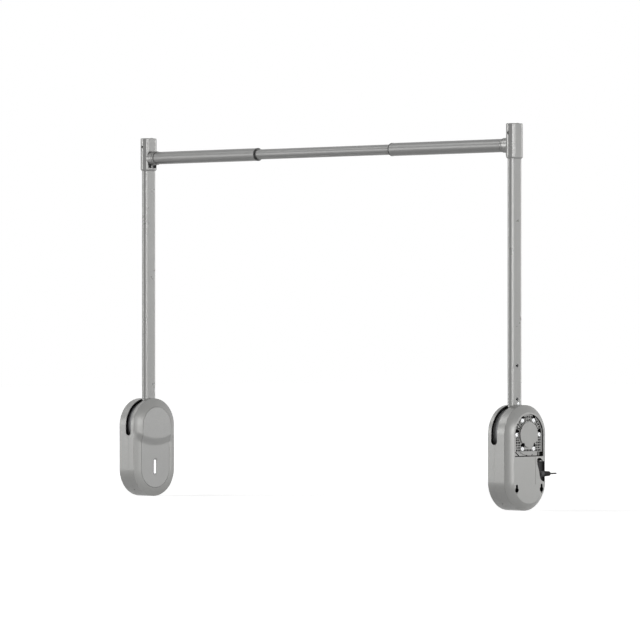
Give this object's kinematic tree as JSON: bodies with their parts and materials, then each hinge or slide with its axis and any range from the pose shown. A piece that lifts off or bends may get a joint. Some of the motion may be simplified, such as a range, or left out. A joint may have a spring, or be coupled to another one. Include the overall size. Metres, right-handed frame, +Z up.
{
  "type": "pull down closet rod",
  "caption": "Motorised pull down closet rod: wall units with swinging flat-oval arms carry a telescopic clothes rod that tips forward and down.",
  "frame": {"origin": "on the right wall face, on the drive axis that the right arm swings about", "axes": "+X towards the right wall, along the rod; -Y towards the user, where the rod swings down; +Z up"},
  "size_m": [1.283, 0.1596, 0.8519],
  "materials": {
    "casing_silver": "satin silver-grey metallic paint with a fine grain",
    "cast_silver": "die-cast, satin silver-grey paint",
    "arm_silver": "satin silver-grey anodised tube",
    "drum_grey": "dark grey, satin",
    "plain_steel": "machined",
    "zinc_steel": "bright zinc plate",
    "bronze": "sintered bronze",
    "black_plastic": "matt black",
    "plug_grey": "dark grey sleeve, black strain relief",
    "board_green": "solder-masked circuit board",
    "lamp_white": "white light bar, lit"
  },
  "bodies": {
    "right_unit": {"right_rear_shell": "cast_silver", "right_rear_cover": "casing_silver", "right_front_shell": "casing_silver", "right_front_cover": "casing_silver", "right_front_panel": "casing_silver", "right_light_window": "lamp_white", "right_light_board": "board_green", "right_lattice_plate": "cast_silver", "right_plate_screws": "zinc_steel", "right_casing_screws": "zinc_steel", "right_pivot_shaft": "plain_steel", "right_gearhead": "plain_steel", "right_motor": "plain_steel", "right_control_board": "board_green", "right_power_socket": "black_plastic", "power_plug": "plug_grey", "lead_tail": "black_plastic"},
    "right_lift": {"right_hub_drum": "drum_grey", "right_hub_bushes": "bronze", "right_sector_gear": "plain_steel", "right_lever": "plain_steel", "right_arm": "arm_silver", "right_arm_screws": "zinc_steel", "right_connector": "cast_silver", "right_top_screw": "cast_silver", "right_rod_clip": "black_plastic", "right_rod_end_plug": "cast_silver", "right_rod_tube": "arm_silver", "right_tube_bush": "black_plastic"},
    "right_pinion": {"right_drive_pinion": "plain_steel"},
    "rod": {"rod_inner_tube": "arm_silver"},
    "left_lift": {"left_hub_drum": "drum_grey", "left_hub_bushes": "bronze", "left_sector_gear": "plain_steel", "left_lever": "plain_steel", "left_arm": "arm_silver", "left_arm_screws": "zinc_steel", "left_connector": "cast_silver", "left_top_screw": "cast_silver", "left_rod_clip": "black_plastic", "left_rod_end_plug": "cast_silver", "left_rod_tube": "arm_silver", "left_tube_bush": "black_plastic"},
    "left_unit": {"left_rear_shell": "cast_silver", "left_rear_cover": "casing_silver", "left_front_shell": "casing_silver", "left_front_cover": "casing_silver", "left_front_panel": "casing_silver", "left_light_window": "lamp_white", "left_light_board": "board_green", "left_lattice_plate": "cast_silver", "left_plate_screws": "zinc_steel", "left_casing_screws": "zinc_steel", "left_pivot_shaft": "plain_steel", "left_gearhead": "plain_steel", "left_motor": "plain_steel", "left_control_board": "board_green", "left_power_socket": "black_plastic"},
    "left_pinion": {"left_drive_pinion": "plain_steel"}
  },
  "joints": [
    {"name": "lift_swing", "type": "hinge", "parent": "right_unit", "child": "right_lift", "pos_m": [-0.0445, 0, 0], "axis": [1, 0, 0], "range_deg": [0, 90]},
    {"name": "rod_slide_right", "type": "slide", "parent": "right_lift", "child": "rod", "axis": [1, 0, 0], "range_m": [-0.055, 0.2]},
    {"name": "rod_slide_left", "type": "slide", "parent": "rod", "child": "left_lift", "axis": [1, 0, 0], "range_m": [-0.055, 0.2]},
    {"name": "left_unit_swing", "type": "hinge", "parent": "left_lift", "child": "left_unit", "pos_m": [-1.2385, 0, 0], "axis": [1, 0, 0], "range_deg": [-90, 0]},
    {"name": "right_pinion_spin", "type": "hinge", "parent": "right_unit", "child": "right_pinion", "pos_m": [-0.0445, 0, -0.0631], "axis": [1, 0, 0], "range_deg": [-540, 0]},
    {"name": "left_pinion_spin", "type": "hinge", "parent": "left_unit", "child": "left_pinion", "pos_m": [-1.2385, 0, -0.0631], "axis": [1, 0, 0], "range_deg": [-540, 0]}
  ],
  "couplings": [
    {"joint": "rod_slide_left", "follows": "rod_slide_right", "ratio": 1},
    {"joint": "left_unit_swing", "follows": "lift_swing", "ratio": -1},
    {"joint": "right_pinion_spin", "follows": "lift_swing", "ratio": -6},
    {"joint": "left_pinion_spin", "follows": "lift_swing", "ratio": -6}
  ]
}
